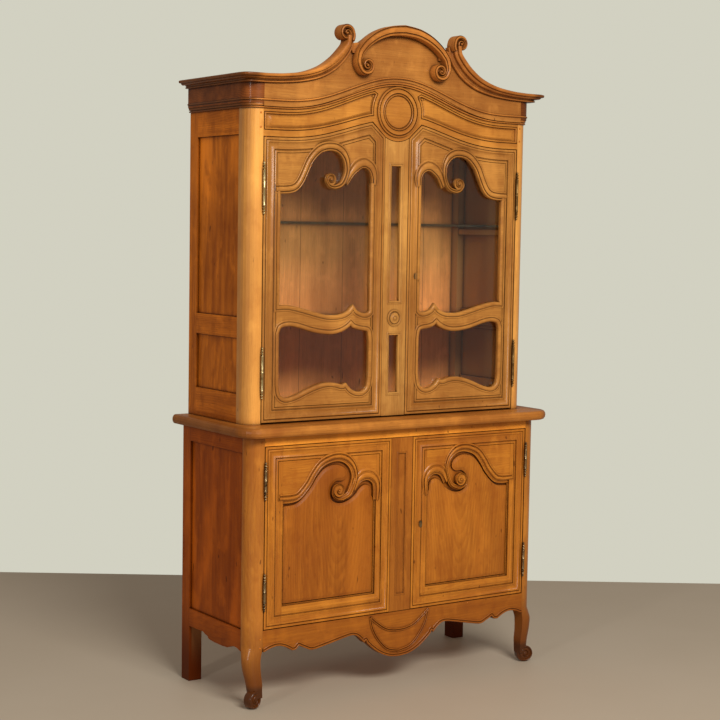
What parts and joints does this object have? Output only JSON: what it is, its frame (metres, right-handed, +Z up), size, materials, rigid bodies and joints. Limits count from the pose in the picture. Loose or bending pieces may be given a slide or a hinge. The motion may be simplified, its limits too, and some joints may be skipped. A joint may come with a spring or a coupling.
{
  "type": "two-tier buffet",
  "caption": "Two-tier provincial buffet: panelled cupboard base on scrolled feet, glazed upper case with swept cornice and hinged, lockable doors.",
  "frame": {"origin": "at floor level under the middle of the overall plan", "axes": "+X to the right as seen from the front, +Y to the back, +Z up; the doors face -Y"},
  "size_m": [1.318, 0.514, 2.3111],
  "materials": {
    "post_wood": "waxed, satin",
    "frame_wood": "waxed, satin",
    "panel_wood": "waxed, satin",
    "inner_wood": "plain, matt",
    "brass": "aged, satin",
    "bronze": "dark patina",
    "iron": "dull",
    "glass": "clear, polished"
  },
  "bodies": {
    "carcase": {"apron_rail": "frame_wood", "architrave_moulding": "frame_wood", "cornice_moulding": "frame_wood", "countertop": "frame_wood", "crest_board": "frame_wood", "frieze_rail": "frame_wood", "glass_shelf": "glass", "lower_back_panel": "inner_wood", "lower_bottom_board": "inner_wood", "lower_front_post_left": "post_wood", "lower_front_post_right": "post_wood", "lower_left_high_hinge_post_half": "bronze", "lower_left_low_hinge_post_half": "bronze", "lower_right_high_hinge_post_half": "bronze", "lower_right_low_hinge_post_half": "bronze", "lower_shelf": "inner_wood", "lower_side_frame_left": "frame_wood", "lower_side_frame_right": "frame_wood", "lower_side_panel_left": "panel_wood", "lower_side_panel_right": "panel_wood", "lower_top_rail": "frame_wood", "top_board": "inner_wood", "upper_back_panel": "inner_wood", "upper_bottom_board": "inner_wood", "upper_front_post_left": "post_wood", "upper_front_post_right": "post_wood", "upper_left_high_hinge_post_half": "brass", "upper_left_low_hinge_post_half": "brass", "upper_low_panel_left": "panel_wood", "upper_low_panel_right": "panel_wood", "upper_right_high_hinge_post_half": "brass", "upper_right_low_hinge_post_half": "brass", "upper_side_frame_left": "frame_wood", "upper_side_frame_right": "frame_wood", "upper_tall_panel_left": "panel_wood", "upper_tall_panel_right": "panel_wood", "wooden_shelf": "inner_wood"},
    "lower_left_door": {"lower_centre_stile": "post_wood", "lower_left_door_frame": "frame_wood", "lower_left_door_panel": "panel_wood", "lower_left_high_hinge_door_half": "bronze", "lower_left_low_hinge_door_half": "bronze"},
    "lower_right_door": {"lower_door_lock": "brass", "lower_right_door_frame": "frame_wood", "lower_right_door_panel": "panel_wood", "lower_right_high_hinge_door_half": "bronze", "lower_right_low_hinge_door_half": "bronze"},
    "lower_bolt": {"lower_lock_bolt": "iron"},
    "upper_left_door": {"upper_centre_glass": "glass", "upper_centre_stile": "post_wood", "upper_left_door_frame": "frame_wood", "upper_left_door_glass": "glass", "upper_left_high_hinge_door_half": "brass", "upper_left_low_hinge_door_half": "brass"},
    "upper_right_door": {"upper_door_lock": "brass", "upper_right_door_frame": "frame_wood", "upper_right_door_glass": "glass", "upper_right_high_hinge_door_half": "brass", "upper_right_low_hinge_door_half": "brass"},
    "upper_bolt": {"upper_lock_bolt": "iron"}
  },
  "joints": [
    {"name": "lower_left_door_hinge", "type": "hinge", "parent": "carcase", "child": "lower_left_door", "pos_m": [-0.56, -0.2194, 0.574], "axis": [0, 0, -1], "range_deg": [0, 170]},
    {"name": "lower_right_door_hinge", "type": "hinge", "parent": "carcase", "child": "lower_right_door", "pos_m": [0.56, -0.2194, 0.574], "axis": [0, 0, 1], "range_deg": [0, 170]},
    {"name": "lower_bolt_slide", "type": "slide", "parent": "lower_right_door", "child": "lower_bolt", "axis": [-1, 0, 0], "range_m": [0, 0.008]},
    {"name": "upper_left_door_hinge", "type": "hinge", "parent": "carcase", "child": "upper_left_door", "pos_m": [-0.541, -0.1561, 1.43], "axis": [0, 0, -1], "range_deg": [0, 170]},
    {"name": "upper_right_door_hinge", "type": "hinge", "parent": "carcase", "child": "upper_right_door", "pos_m": [0.541, -0.1561, 1.43], "axis": [0, 0, 1], "range_deg": [0, 170]},
    {"name": "upper_bolt_slide", "type": "slide", "parent": "upper_right_door", "child": "upper_bolt", "axis": [-1, 0, 0], "range_m": [0, 0.008]}
  ]
}
